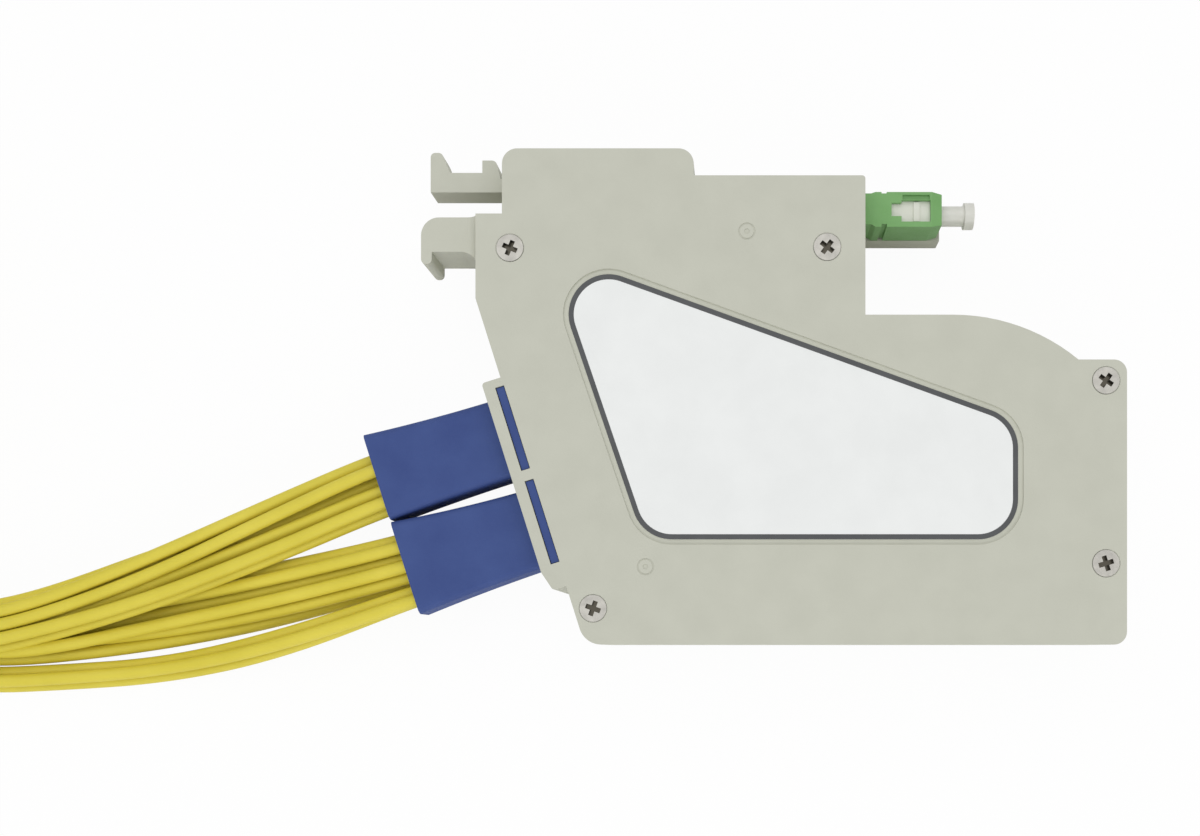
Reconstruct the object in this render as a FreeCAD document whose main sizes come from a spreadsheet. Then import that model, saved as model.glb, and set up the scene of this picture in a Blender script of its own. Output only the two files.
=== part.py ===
import FreeCAD, Part
import math
import os
import re
import Sketcher

# Fibre splitter module, in millimetres, lying on its flat back with the cover up.
# Every piece is drawn from the casing's lower left corner, u to the right, v up the cover, z off the back,
# and then placed so that the middle of the casing's back is the origin.
SIZES = {
    # Casing outline
    "casing_length": 133.0,
    "casing_height": 101.3,
    "casing_depth": 22.0,
    "wall": 2.2,
    "cover_thickness": 2.5,
    "top_drop": 5.5,
    "top_height": "=casing_height - top_drop",
    "neck_drop": 28.45,
    "neck_height": "=top_height - neck_drop",
    "shoulder_drop": 9.15,
    "right_height": "=neck_height - shoulder_drop",
    "shoulder_start": 123.1,
    "shoulder_radius": 40.3,
    "plug_wall": 79.6,
    "bump_right": 44.55,
    "bump_left": 5.4,
    "ledge_drop": 13.3,
    "ledge_height": "=casing_height - ledge_drop",
    "slant_drop": 30.6,
    "slant_top": "=casing_height - slant_drop",
    "slant_angle": 17.5,
    "foot_radius": 4.6,
    "corner_radius": 2.65,
    "bump_radius": 3.1,
    "small_radius": 0.7,
    # Outlet flange on the slanted edge, along it from its top and out from it
    "flange_start": 16.95,
    "flange_length": 40.5,
    "flange_step": 4.05,
    "heel_length": 4.1,
    "heel_drop": 1.2,
    "outlet_middle": 37.54,
    "outlet_pitch": 20.0,
    "slot_out": 0.75,
    "slot_length": 17.8,
    "slot_width": 1.9,
    "slot_floor": 3.0,
    # Strain-relief boots
    "boot_clearance": 0.15,
    "boot_root": 16.6,
    "upper_waist": 17.3,
    "upper_mouth": 18.7,
    "lower_waist": 18.15,
    "lower_mouth": 20.3,
    "boot_length": 27.7,
    "boot_thickness": 9.6,
    "boot_wall": 0.6,
    "boot_bottom": 6.2,
    "boot_corner": 1.4,
    "boot_flange_set_back": 0.4,
    "upper_lean": 0.2,
    "lower_lean": 0.3,
    # Screws and their bosses
    "screw_head": 5.5,
    "screw_head_height": 1.4,
    "screw_shank": 2.9,
    "screw_length": 12.0,
    "screw_recess_width": 1.0,
    "screw_recess_span": 3.15,
    "screw_recess_depth": 1.1,
    "screw_clearance": 0.2,
    "thread_clearance": 0.02,
    "boss_diameter": 6.8,
    "edge_screw_inset": 4.25,
    "lower_screw_height": 16.6,
    "ledge_screw_inset": 7.0,
    "plug_screw_inset": 7.8,
    "plug_screw_drop": 14.6,
    "foot_screw_inset": 1.7,
    "foot_screw_height": 7.4,
    # Label recess and round gate marks
    "label_left": 13.9,
    "label_drop": 20.3,
    "label_top": "=casing_height - label_drop",
    "label_foot": 34.2,
    "label_bottom": 21.5,
    "label_right_inset": 22.2,
    "label_right_drop": 12.3,
    "label_right_top": "=right_height - label_right_drop",
    "label_margin": 1.1,
    "label_radius": 8.2,
    "recess_depth": 0.4,
    "label_thickness": 0.2,
    "upper_mark": 55.4,
    "upper_mark_drop": 11.4,
    "lower_mark": 34.7,
    "lower_mark_height": 15.9,
    "mark_diameter": 3.5,
    "mark_groove": 0.35,
    "mark_dot": 1.1,
    "mark_depth": 0.15,
    # Fixed hook on the cover
    "hook_reach": 11.7,
    "hook_bottom": 7.8,
    "hook_set_back": 2.4,
    "hook_arm": 7.1,
    "hook_tooth": 2.2,
    "hook_tooth_drop": 2.5,
    "hook_radius": 3.7,
    "hook_root_radius": 3.5,
    "hook_blend": 2.2,
    "hook_clearance": 0.2,
    # Sprung latch arm
    "latch_reach": 10.9,
    "latch_inset": 6.4,
    "latch_underside": "=casing_height - latch_inset",
    "latch_height": 2.8,
    "latch_top": "=latch_underside + latch_height",
    "latch_shelf_rise": 1.3,
    "latch_shelf": "=latch_top + latch_shelf_rise",
    "latch_tip_rise": 5.5,
    "latch_tip": "=latch_top + latch_tip_rise",
    "latch_tip_width": 2.3,
    "latch_tip_slope": 1.8,
    "latch_tooth_start": 0.07,
    "latch_tooth_end": 2.8,
    "latch_tooth_rise": 3.9,
    "latch_tooth_top": "=latch_top + latch_tooth_rise",
    "latch_bottom": 8.0,
    "latch_thickness": 6.6,
    "latch_pivot": 30.0,
    "latch_pivot_drop": 1.4,
    "latch_hub": 7.0,
    "latch_pin": 3.0,
    "latch_pin_length": 12.0,
    "latch_running_fit": 0.05,
    "latch_swing": 4.0,
    "latch_clearance": 0.4,
    "spring_strip": 0.4,
    "spring_width": 4.0,
    "spring_foot": 24.0,
    "spring_tip": 12.0,
    "spring_drop": 9.0,
    "spring_leg": 4.0,
    "spring_post": 2.0,
    # Input plug
    "plug_axis_drop": 4.45,
    "plug_axis_height": "=top_height - plug_axis_drop",
    "plug_axis_level": 10.0,
    "grip_seat": 1.4,
    "grip_start": "=plug_wall - grip_seat",
    "grip_length": 18.2,
    "grip_height": 7.3,
    "grip_depth": 9.2,
    "grip_wall": 0.9,
    "grip_travel": 1.8,
    "grip_taper": 0.45,
    "grip_taper_length": 2.1,
    "grip_step": 0.3,
    "grip_neck_step": 0.55,
    "grip_slope": 0.9,
    "grip_notch_depth": 0.6,
    "grip_neck_length": 4.2,
    "grip_rib_end": 5.5,
    "grip_notch_end": 6.6,
    "grip_slot_start": 9.9,
    "grip_slot_length": 5.7,
    "grip_slot_height": 1.0,
    "grip_slot_depth": 0.5,
    "grip_clearance": 0.25,
    "grip_running_fit": 0.1,
    "frame_offset": 2.1,
    "frame_start": "=grip_start + frame_offset",
    "frame_set_back": 1.2,
    "frame_bore": 4.4,
    "frame_ridge_start": 10.2,
    "frame_ridge_width": 1.25,
    "frame_ridge_height": 0.4,
    "window_start": 7.6,
    "window_length": 8.2,
    "window_rise": 1.95,
    "window_height": 4.5,
    "window_neck": 2.1,
    "window_neck_height": 2.8,
    "spring_room": 4.0,
    "holder_start": "=frame_start + spring_room",
    "holder_length": 4.0,
    "holder_diameter": 4.0,
    "ferrule_diameter": 2.5,
    "ferrule_length": 12.5,
    "ferrule_bore": 0.3,
    "plug_spring_diameter": 3.2,
    "plug_spring_wire": 0.4,
    "plug_spring_pitch": 0.72,
    "cap_offset": 6.2,
    "cap_start": "=holder_start + cap_offset",
    "cap_length": 13.1,
    "cap_stem": 4.15,
    "cap_head": 5.5,
    "cap_head_length": 2.0,
    "cap_clearance": 0.05,
    "cap_end": 2.5,
    "rear_length": 14.3,
    "rear_start": "=frame_start - rear_length",
    "rear_diameter": 4.2,
    "rear_spigot": 1.2,
    "fibre_diameter": 0.9,
    "cradle_offset": 3.5,
    "cradle_start": "=rear_start + cradle_offset",
    "cradle_length": 3.0,
    "tongue_margin": 0.8,
    "tongue_end": "=grip_start + grip_length + tongue_margin",
    # Splitter and its fibres
    "spool_inset": 27.0,
    "spool_u": "=casing_length - spool_inset",
    "spool_v": 31.5,
    "splitter_length": 44.0,
    "splitter_boot_length": 6.0,
    "splitter_start": "=spool_u - splitter_boot_length - splitter_length",
    "splitter_axis": 16.5,
    "splitter_width": 7.0,
    "splitter_height": 4.5,
    "splitter_pad": 0.6,
    "splitter_boot_root": 4.0,
    "splitter_boot_tip": 3.0,
    "tube_diameter": 1.1,
    "spool_diameter": 24.0,
    "spool_wall": 2.0,
    "spool_height": 12.0,
    # Fan-out blocks and pigtails
    "fanout_gap": 3.0,
    "fanout_length": 11.0,
    "fanout_width": 15.0,
    "fanout_height": 14.0,
    "cord_diameter": 2.8,
    "lead_end": -112.0,
    # Coil of the pigtails' unseen length, with its ties and connectors
    "coil_centre_u": -178.0,
    "coil_centre_v": 65.1,
    "coil_outer": 132.0,
    "coil_inner": 83.0,
    "coil_lift": 1.0,
    "coil_thickness": 23.6,
    "lead_middle": 0.95,
    "lead_width": 22.6,
    "lead_thickness": 8.6,
    "lead_root": 6.0,
    "tie_width": 9.0,
    "tie_thickness": 0.6,
    "tie_clearance": 0.35,
    "connector_width": 7.3,
    "connector_height": 8.9,
    "connector_length": 24.0,
    "connector_gap": 0.3,
    "connector_boot_length": 17.0,
    "connector_boot_root": 5.6,
    "connector_boot_tip": 3.4,
    "connector_chamfer": 0.7,
    "connector_cap": 4.2,
    "connector_cap_length": 5.0,
}

doc = FreeCAD.newDocument("FibreSplitterModule")
sheet = doc.addObject("Spreadsheet::Sheet", "Sizes")
for row, (alias, value) in enumerate(SIZES.items(), start=1):
    sheet.set(f"A{row}", alias)
    sheet.set(f"B{row}", str(value))
    sheet.setAlias(f"B{row}", alias)
doc.recompute()
pieces = []


def linked(expression):
    """The expression with each size name pointing at its cell in the sheet."""
    return re.sub(r"[a-z_]+", lambda word: f"Sizes.{word[0]}" if word[0] in SIZES else word[0], expression)


def number(expression):
    return float(sheet.evalExpression(linked(expression)))


def bind(thing, name, expression):
    thing.setExpression(name, linked(expression))


def place_at(thing, u, v, z, turn="0"):
    """Places a piece at a point of the casing, turned about z by an angle in degrees."""
    bind(thing, "Placement.Base.x", f"{u} - casing_length / 2")
    bind(thing, "Placement.Base.y", f"{v} - casing_height / 2")
    bind(thing, "Placement.Base.z", z)
    bind(thing, "Placement.Rotation.Angle", turn)


def new_body(label, u="0", v="0", z="0", turn="0"):
    body = doc.addObject("PartDesign::Body", label)
    body.Label = label
    place_at(body, u, v, z, turn)
    pieces.append(body)
    return body


def shaped(label, shape):
    """A piece whose shape is worked out here, in the casing's u, v and z."""
    piece = doc.addObject("Part::Feature", label)
    piece.Label = label
    piece.Shape = shape
    place_at(piece, "0", "0", "0")
    pieces.append(piece)
    return piece


def pattern_shape(body):
    """The shape of a body that is only a pattern for copies, about its own origin."""
    doc.recompute()
    pieces.remove(body)
    return body.Tip.Shape


def new_sketch(body, plane, level):
    sketch = body.newObject("Sketcher::SketchObject", f"{body.Name}_sketch")
    support = next(feature for feature in body.Origin.OriginFeatures if feature.Role == plane)
    sketch.AttachmentSupport = [(support, "")]
    sketch.MapMode = "FlatFace"
    bind(sketch, "AttachmentOffset.Base.z", level)
    return sketch


def hold(sketch, geometry, point, place):
    """Ties a point of a sketch to its place with two bound distances."""
    for kind, expression in zip(("DistanceX", "DistanceY"), place):
        distance = Sketcher.Constraint(kind, -1, 1, geometry, point, number(expression))
        bind(sketch, f"Constraints[{sketch.addConstraint(distance)}]", expression)


def bulged_side(start, end, radius):
    """An arc that leaves the outline outwards between two of its corners."""
    chord = end - start
    outward = FreeCAD.Vector(chord.y, -chord.x, 0).normalize()
    rise = radius - math.sqrt(radius**2 - (chord.Length / 2)**2)
    return Part.Arc(start, start + chord * 0.5 + outward * rise, end)


def polygon(body, places, level="0", plane="XY_Plane", arcs={}):
    """A closed outline, counter-clockwise, with the sides named in arcs bulged to a radius."""
    sketch = new_sketch(body, plane, level)
    corners = [FreeCAD.Vector(number(x), number(y), 0) for x, y in places]
    count = len(corners)
    for index, start in enumerate(corners):
        end = corners[(index + 1) % count]
        side = bulged_side(start, end, number(arcs[index])) if index in arcs else Part.LineSegment(start, end)
        sketch.addGeometry(side, False)
    for index, place in enumerate(places):
        sketch.addConstraint(Sketcher.Constraint("Coincident", index, 2, (index + 1) % count, 1))
        hold(sketch, index, 1, place)
    for index, radius in arcs.items():
        size = sketch.addConstraint(Sketcher.Constraint("Radius", index, number(radius)))
        bind(sketch, f"Constraints[{size}]", radius)
    return sketch


def rectangle(body, low, high, level="0", plane="XY_Plane"):
    (left, bottom), (right, top) = low, high
    return polygon(body, [(left, bottom), (right, bottom), (right, top), (left, top)], level, plane)


def circles(body, rings, level="0", plane="XY_Plane"):
    """Circles given by their two centre coordinates and diameter."""
    sketch = new_sketch(body, plane, level)
    for x, y, diameter in rings:
        centre = FreeCAD.Vector(number(x), number(y), 0)
        circle = Part.Circle(centre, FreeCAD.Vector(0, 0, 1), number(diameter) / 2)
        ring = sketch.addGeometry(circle, False)
        hold(sketch, ring, 3, (x, y))
        size = sketch.addConstraint(Sketcher.Constraint("Diameter", ring, number(diameter)))
        bind(sketch, f"Constraints[{size}]", diameter)
    return sketch


def extruded(kind, body, sketch, length):
    feature = body.newObject(kind, f"{body.Name}_feature")
    feature.Profile = sketch
    bind(feature, "Length", length)
    return feature


def pad(body, sketch, length):
    """Raises a sketch along its plane's normal."""
    return extruded("PartDesign::Pad", body, sketch, length)


def pocket(body, sketch, depth):
    """Cuts against the sketch plane's normal."""
    return extruded("PartDesign::Pocket", body, sketch, depth)


def round_corners(body, feature, sketch, corners, radius):
    """Rounds the upright edges of a feature at some corners of its sketch."""
    doc.recompute()
    places = [sketch.getPoint(corner, 1) for corner in corners]
    names = []
    for count, edge in enumerate(feature.Shape.Edges, start=1):
        low, high = edge.Vertexes[0].Point, edge.Vertexes[-1].Point
        upright = abs(low.x - high.x) + abs(low.y - high.y) < 0.001 and edge.Length > 0.001
        if upright and any(math.hypot(low.x - place.x, low.y - place.y) < 0.001 for place in places):
            names.append(f"Edge{count}")
    fillet = body.newObject("PartDesign::Fillet", f"{body.Name}_fillet")
    fillet.Base = (feature, names)
    bind(fillet, "Radius", radius)
    return fillet


def revolved(body, sketch, axis):
    revolution = body.newObject("PartDesign::Revolution", f"{body.Name}_turning")
    revolution.Profile = sketch
    revolution.ReferenceAxis = (sketch, [axis])
    revolution.Angle = 360
    return body


def turned_along_u(label, profile, v, z):
    """A piece turned about an axis along u, from (u, radius) corners."""
    body = new_body(label, "0", v, z)
    return revolved(body, polygon(body, profile), "H_Axis")


# Outline of the casing, or of its cavity when it is set in from the edge
FOOT = "slant_top * tan(slant_angle)"
SHOULDER_DROP = "(neck_height - right_height)"
NECK = f"(shoulder_start - sqrt(2 * shoulder_radius * {SHOULDER_DROP} - {SHOULDER_DROP} ^ 2))"


def casing_outline(inset):
    radius = f"(shoulder_radius - {inset})"
    shoulder = f"{NECK} + sqrt({radius} ^ 2 - ({radius} - {SHOULDER_DROP}) ^ 2)"
    places = [
        (f"(slant_top - {inset}) * tan(slant_angle) + {inset} / cos(slant_angle)", inset),
        (f"casing_length - {inset}", inset),
        (f"casing_length - {inset}", f"right_height - {inset}"),
        (shoulder, f"right_height - {inset}"),
        (NECK, f"neck_height - {inset}"),
        (f"plug_wall - {inset}", f"neck_height - {inset}"),
        (f"plug_wall - {inset}", f"top_height - {inset}"),
        (f"bump_right - {inset}", f"top_height - {inset}"),
        (f"bump_right - {inset}", f"casing_height - {inset}"),
        (f"bump_left + {inset}", f"casing_height - {inset}"),
        (f"bump_left + {inset}", f"ledge_height - {inset}"),
        (inset, f"ledge_height - {inset}"),
        (inset, f"slant_top + {inset} * tan(slant_angle / 2)"),
    ]
    return places, {3: radius}


def on_slant(along, out):
    """A point given along the slanted edge from its top, and out from it."""
    u = f"({along}) * sin(slant_angle) - ({out}) * cos(slant_angle)"
    v = f"slant_top - ({along}) * cos(slant_angle) - ({out}) * sin(slant_angle)"
    return u, v


def slanted_box(body, middle, width, inner, outer, level):
    """A rectangle beside the slanted edge, centred along it."""
    start, end = f"{middle} - ({width}) / 2", f"{middle} + ({width}) / 2"
    corners = [on_slant(start, inner), on_slant(start, outer), on_slant(end, outer), on_slant(end, inner)]
    return polygon(body, corners, level)


def flange_outline():
    heel = "flange_start + flange_length"
    return [
        on_slant("flange_start", "-wall"),
        on_slant("flange_start", "flange_step"),
        on_slant(heel, "flange_step"),
        on_slant(f"{heel} + heel_length", "flange_step - heel_drop"),
        on_slant(f"{heel} + heel_length", "-wall"),
    ]


OUTLETS = ["outlet_middle - outlet_pitch / 2", "outlet_middle + outlet_pitch / 2"]
SEAM = "casing_depth - cover_thickness"
SCREWS = [
    ("ledge_screw_inset", "ledge_height - ledge_screw_inset", -23),
    ("plug_wall - plug_screw_inset", "top_height - plug_screw_drop", -37),
    ("casing_length - edge_screw_inset", "right_height - edge_screw_inset", -35),
    ("casing_length - edge_screw_inset", "lower_screw_height", 17),
    (f"{FOOT} + foot_screw_inset", "foot_screw_height", -20),
]


def rounded_casing(body, height, level):
    """The casing's outline as a slab, with the outlet flange and every outer corner rounded."""
    places, arcs = casing_outline("0")
    outline = polygon(body, places, level, arcs=arcs)
    slab = pad(body, outline, height)
    slab = round_corners(body, slab, outline, [0], "foot_radius")
    slab = round_corners(body, slab, outline, [1, 2], "corner_radius")
    slab = round_corners(body, slab, outline, [8, 9], "bump_radius")
    round_corners(body, slab, outline, [6], "small_radius")
    flange = polygon(body, flange_outline(), level)
    slab = pad(body, flange, height)
    round_corners(body, slab, flange, [1, 2, 3], "small_radius")
    return body


# Housing: one moulded tray with screw bosses, a fibre spool, the latch's pivot and the input plug's seat
LATCH_AXIS = ("latch_pivot", "latch_underside - latch_pivot_drop")
LATCH_SEAT = "latch_bottom - latch_clearance"
PIN_BOTTOM = "latch_bottom + latch_thickness + latch_clearance - latch_pin_length"
SPRING_LEVEL = "latch_bottom + (latch_thickness - spring_width) / 2"
SPRING_KNEE = "latch_underside - spring_drop"
GRIP_FLOOR = "plug_axis_level - grip_depth / 2 - grip_clearance"
HOOK_UNDERSIDE = "ledge_height - hook_arm"


def post(body, ring, top):
    """Round posts that rise from the tray's floor."""
    return pad(body, circles(body, ring, "wall"), f"{top} - wall")


def beside_plug(margin):
    """Corners of the plug's section, in v and z, with a margin all round."""
    low = (f"plug_axis_height - grip_height / 2 - {margin}", f"plug_axis_level - grip_depth / 2 - {margin}")
    high = (f"plug_axis_height + grip_height / 2 + {margin}", f"plug_axis_level + grip_depth / 2 + {margin}")
    return low, high


housing = rounded_casing(new_body("housing"), SEAM, "0")
cavity, cavity_arcs = casing_outline("wall")
pocket(housing, polygon(housing, cavity, SEAM, arcs=cavity_arcs), f"{SEAM} - wall")
post(housing, [(u, v, "boss_diameter") for u, v, turn in SCREWS], SEAM)
pilots = [(u, v, "screw_shank + 2 * thread_clearance") for u, v, turn in SCREWS]
pocket(housing, circles(housing, pilots, SEAM), "screw_length - cover_thickness + thread_clearance")
spool = [("spool_u", "spool_v", "spool_diameter"), ("spool_u", "spool_v", "spool_diameter - 2 * spool_wall")]
post(housing, spool, "spool_height")
post(housing, [(*LATCH_AXIS, "latch_pin + 2 * wall")], LATCH_SEAT)
pocket(housing, circles(housing, [(*LATCH_AXIS, "latch_pin")], LATCH_SEAT), f"{LATCH_SEAT} - ({PIN_BOTTOM})")
post_low = ("spring_foot - spring_post", f"{SPRING_KNEE} - spring_leg")
post_high = ("spring_foot + spring_strip + spring_post", f"{SPRING_KNEE} - spring_strip")
pad(housing, rectangle(housing, post_low, post_high, "wall"), f"{SPRING_LEVEL} + spring_width - wall")
strip_low = ("spring_foot - latch_running_fit", f"{SPRING_KNEE} - spring_leg")
strip_high = ("spring_foot + spring_strip + latch_running_fit", f"{SPRING_KNEE}")
pocket(housing, rectangle(housing, strip_low, strip_high, f"{SPRING_LEVEL} + spring_width"), "spring_width")
cradle_low = ("cradle_start", "plug_axis_height - rear_diameter / 2 - wall")
cradle_high = ("cradle_start + cradle_length", "top_height - wall")
pad(housing, rectangle(housing, cradle_low, cradle_high, "wall"), "plug_axis_level - wall")
groove = [("plug_axis_height", "plug_axis_level", "rear_diameter + 2 * latch_running_fit")]
pocket(housing, circles(housing, groove, "cradle_start + cradle_length", "YZ_Plane"), "cradle_length")
tongue_low = ("plug_wall - wall", "plug_axis_height - grip_height / 2")
tongue_high = ("tongue_end", "plug_axis_height + grip_height / 2")
pad(housing, rectangle(housing, tongue_low, tongue_high), GRIP_FLOOR)
port = rectangle(housing, *beside_plug("grip_clearance"), "plug_wall", "YZ_Plane")
pocket(housing, port, "plug_wall - grip_start + grip_travel + grip_clearance")
latch_drop = "(latch_pivot - bump_left) * tan(latch_swing)"
latch_low = (f"latch_underside - {latch_drop} - latch_clearance", LATCH_SEAT)
latch_high = ("latch_top + latch_clearance", "latch_bottom + latch_thickness + latch_clearance")
pocket(housing, rectangle(housing, latch_low, latch_high, "bump_left + wall", "YZ_Plane"), "wall")
notch_low = ("-wall", f"{HOOK_UNDERSIDE} - hook_root_radius - hook_clearance")
notch_high = ("wall + hook_clearance", "ledge_height + wall")
pocket(housing, rectangle(housing, notch_low, notch_high, SEAM), f"{SEAM} - hook_bottom + hook_clearance")
for middle in OUTLETS:
    passage = slanted_box(housing, middle, "boot_root + 2 * boot_clearance", "-2 * wall", "flange_step + wall", SEAM)
    pocket(housing, passage, f"{SEAM} - boot_bottom + boot_clearance")
    slot = slanted_box(housing, middle, "slot_length", "slot_out - slot_width / 2", "slot_out + slot_width / 2", SEAM)
    pocket(housing, slot, f"{SEAM} - slot_floor")


# Cover: one moulded plate with the outlet slots, the label's recess, two gate marks and the fixed hook
LABEL = [
    ("label_left", "label_top"),
    ("label_foot", "label_bottom"),
    ("casing_length - label_right_inset", "label_bottom"),
    ("casing_length - label_right_inset", "label_right_top"),
]


def grown(places, margin):
    """The corners of an outline moved out, so that every side moves by the margin."""
    corners = [FreeCAD.Vector(number(x), number(y), 0) for x, y in places]
    moved = []
    for index, corner in enumerate(corners):
        before = (corner - corners[index - 1]).normalize()
        after = (corners[(index + 1) % len(corners)] - corner).normalize()
        normals = FreeCAD.Vector(before.y + after.y, -before.x - after.x, 0)
        corner = corner + normals * (margin / (1 + before.dot(after)))
        moved.append((f"{corner.x:.6f}", f"{corner.y:.6f}"))
    return moved


cover = rounded_casing(new_body("cover"), "cover_thickness", SEAM)
for middle in OUTLETS:
    slot = slanted_box(cover, middle, "slot_length", "slot_out - slot_width / 2", "slot_out + slot_width / 2",
                       "casing_depth")
    pocket(cover, slot, "cover_thickness")
    bridge_level = "boot_bottom + boot_thickness + boot_clearance"
    bridge = slanted_box(cover, middle, "boot_root", "slot_out + slot_width / 2 + boot_clearance", "flange_step",
                         bridge_level)
    pad(cover, bridge, f"{SEAM} - ({bridge_level})")
recess_outline = polygon(cover, grown(LABEL, number("label_margin")), "casing_depth")
recess = pocket(cover, recess_outline, "recess_depth")
round_corners(cover, recess, recess_outline, [0, 1, 2, 3], "label_radius + label_margin")
marks = [("upper_mark", "top_height - upper_mark_drop"), ("lower_mark", "lower_mark_height")]
mark_rings = ["mark_diameter", "mark_diameter - 2 * mark_groove", "mark_dot"]
mark_circles = [(u, v, ring) for u, v in marks for ring in mark_rings]
pocket(cover, circles(cover, mark_circles, "casing_depth"), "mark_depth")
patch_low = ("0", f"{HOOK_UNDERSIDE} - hook_root_radius")
pad(cover, rectangle(cover, patch_low, ("wall", "ledge_height"), "hook_bottom"), f"{SEAM} - hook_bottom")
hook_outline = polygon(cover, [
    ("0", "ledge_height"),
    ("-hook_reach", "ledge_height"),
    ("-hook_reach", f"{HOOK_UNDERSIDE} - hook_tooth_drop"),
    ("hook_tooth - hook_reach", f"{HOOK_UNDERSIDE} - hook_tooth_drop"),
    ("hook_tooth - hook_reach", HOOK_UNDERSIDE),
    ("0", HOOK_UNDERSIDE),
], "hook_bottom")
hook = pad(cover, hook_outline, "casing_depth - hook_set_back - hook_bottom")
hook = round_corners(cover, hook, hook_outline, [1], "hook_radius")
hook = round_corners(cover, hook, hook_outline, [2, 3], "hook_tooth * 0.45")
hook = round_corners(cover, hook, hook_outline, [5], "hook_root_radius")
doc.recompute()
hook_level = number("casing_depth - hook_set_back")
blend_edges = []
for count, edge in enumerate(hook.Shape.Edges, start=1):
    reach = edge.BoundBox
    on_side = abs(reach.XMin) < 0.001 and reach.XLength < 0.001
    if on_side and abs(reach.ZMin - hook_level) < 0.001 and reach.ZLength < 0.001 and reach.YLength > 1:
        blend_edges.append(f"Edge{count}")
hook_blend = cover.newObject("PartDesign::Fillet", "hook_blend")
hook_blend.Base = (hook, blend_edges)
bind(hook_blend, "Radius", "hook_blend")
doc.recompute()
screw_holes = circles(cover, [(u, v, "screw_shank") for u, v, turn in SCREWS], "casing_depth")
doc.recompute()
hole = cover.newObject("PartDesign::Hole", "cover_screw_holes")
hole.Profile = screw_holes
hole.DepthType = "ThroughAll"
hole.ThreadType = "None"
hole.HoleCutType = "Countersink"
hole.HoleCutCustomValues = True
hole.HoleCutCountersinkAngle = 90
bind(hole, "Diameter", "screw_shank + 2 * screw_clearance")
bind(hole, "HoleCutDiameter", "screw_head + 2 * screw_clearance")
doc.recompute()


# Label film in the cover's recess
label_film = new_body("label_film")
film_outline = polygon(label_film, LABEL, "casing_depth - recess_depth")
film = pad(label_film, film_outline, "label_thickness")
round_corners(label_film, film, film_outline, [0, 1, 2, 3], "label_radius")


# Cover screws: countersunk, with a cross recess, made once and set at each hole with its own turn
def cross_outline(span, width):
    """A plus sign, from the span of its bars and their width."""
    far, near = f"({span}) / 2", f"({width}) / 2"
    quarter = [(far, f"-{near}"), (far, near), (near, near)]
    places = []
    for turn in range(4):
        places += quarter
        quarter = [(f"-({y})", x) for x, y in quarter]
    return places


screw = new_body("screw_pattern")
screw_profile = [
    ("0", "-screw_length"),
    ("screw_shank / 2", "-screw_length"),
    ("screw_shank / 2", "-screw_head_height"),
    ("screw_head / 2", "(screw_head - screw_shank) / 2 - screw_head_height"),
    ("screw_head / 2", "0"),
    ("0", "0"),
]
revolved(screw, polygon(screw, screw_profile, plane="XZ_Plane"), "V_Axis")
cross = polygon(screw, cross_outline("screw_recess_span", "screw_recess_width"))
pocket(screw, cross, "screw_recess_depth")
screw_shape = pattern_shape(screw)
UP = FreeCAD.Vector(0, 0, 1)
screw_copies = []
for u, v, turn in SCREWS:
    seat = FreeCAD.Vector(number(u), number(v), number("casing_depth"))
    screw_copies.append(screw_shape.transformed(FreeCAD.Placement(seat, FreeCAD.Rotation(UP, turn)).Matrix))
shaped("cover_screws", Part.Compound(screw_copies))


# Latch arm: moulded lever with two teeth, on a steel pin, held up by a steel leaf
latch_arm = new_body("latch_arm")
latch_outline = polygon(latch_arm, [
    ("-latch_reach", "latch_underside"),
    ("latch_pivot", "latch_underside"),
    ("latch_pivot", "latch_top"),
    ("latch_tooth_end + (latch_tooth_top - latch_top) / 4", "latch_top"),
    ("latch_tooth_end", "latch_tooth_top"),
    ("-latch_tooth_start", "latch_tooth_top"),
    ("-latch_tooth_start", "latch_shelf"),
    ("latch_tip_width + latch_tip_slope - latch_reach", "latch_shelf"),
    ("latch_tip_width - latch_reach", "latch_tip"),
    ("-latch_reach", "latch_tip"),
], "latch_bottom")
arm = pad(latch_arm, latch_outline, "latch_thickness")
arm = round_corners(latch_arm, arm, latch_outline, [8, 9], "latch_tip_width * 0.42")
arm = round_corners(latch_arm, arm, latch_outline, [4], "latch_tip_width * 0.5")
pad(latch_arm, circles(latch_arm, [(*LATCH_AXIS, "latch_hub")], "latch_bottom"), "latch_thickness")
latch_bore = [(*LATCH_AXIS, "latch_pin + 2 * latch_running_fit")]
pocket(latch_arm, circles(latch_arm, latch_bore, "latch_bottom + latch_thickness"), "latch_thickness")

latch_pin = doc.addObject("Part::Cylinder", "latch_pin")
pieces.append(latch_pin)
bind(latch_pin, "Radius", "latch_pin / 2")
bind(latch_pin, "Height", "latch_pin_length")
place_at(latch_pin, *LATCH_AXIS, PIN_BOTTOM)

latch_spring = new_body("latch_spring")
SPRING_TOUCH = "latch_underside - latch_clearance"
spring_outline = polygon(latch_spring, [
    ("spring_foot", f"{SPRING_KNEE} - spring_leg"),
    ("spring_foot + spring_strip", f"{SPRING_KNEE} - spring_leg"),
    ("spring_foot + spring_strip", SPRING_KNEE),
    ("spring_tip", SPRING_TOUCH),
    ("spring_tip", f"{SPRING_TOUCH} - 1.25 * spring_strip"),
    ("spring_foot", f"{SPRING_KNEE} - spring_strip / 2"),
], SPRING_LEVEL)
pad(latch_spring, spring_outline, "spring_width")


# Boots and fan-outs: drawn in the outlet's own axes, x out from the slanted edge and y along it
def outlet_body(label, middle):
    return new_body(label, *on_slant(middle, "0"), "0", "180 + slant_angle")


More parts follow.
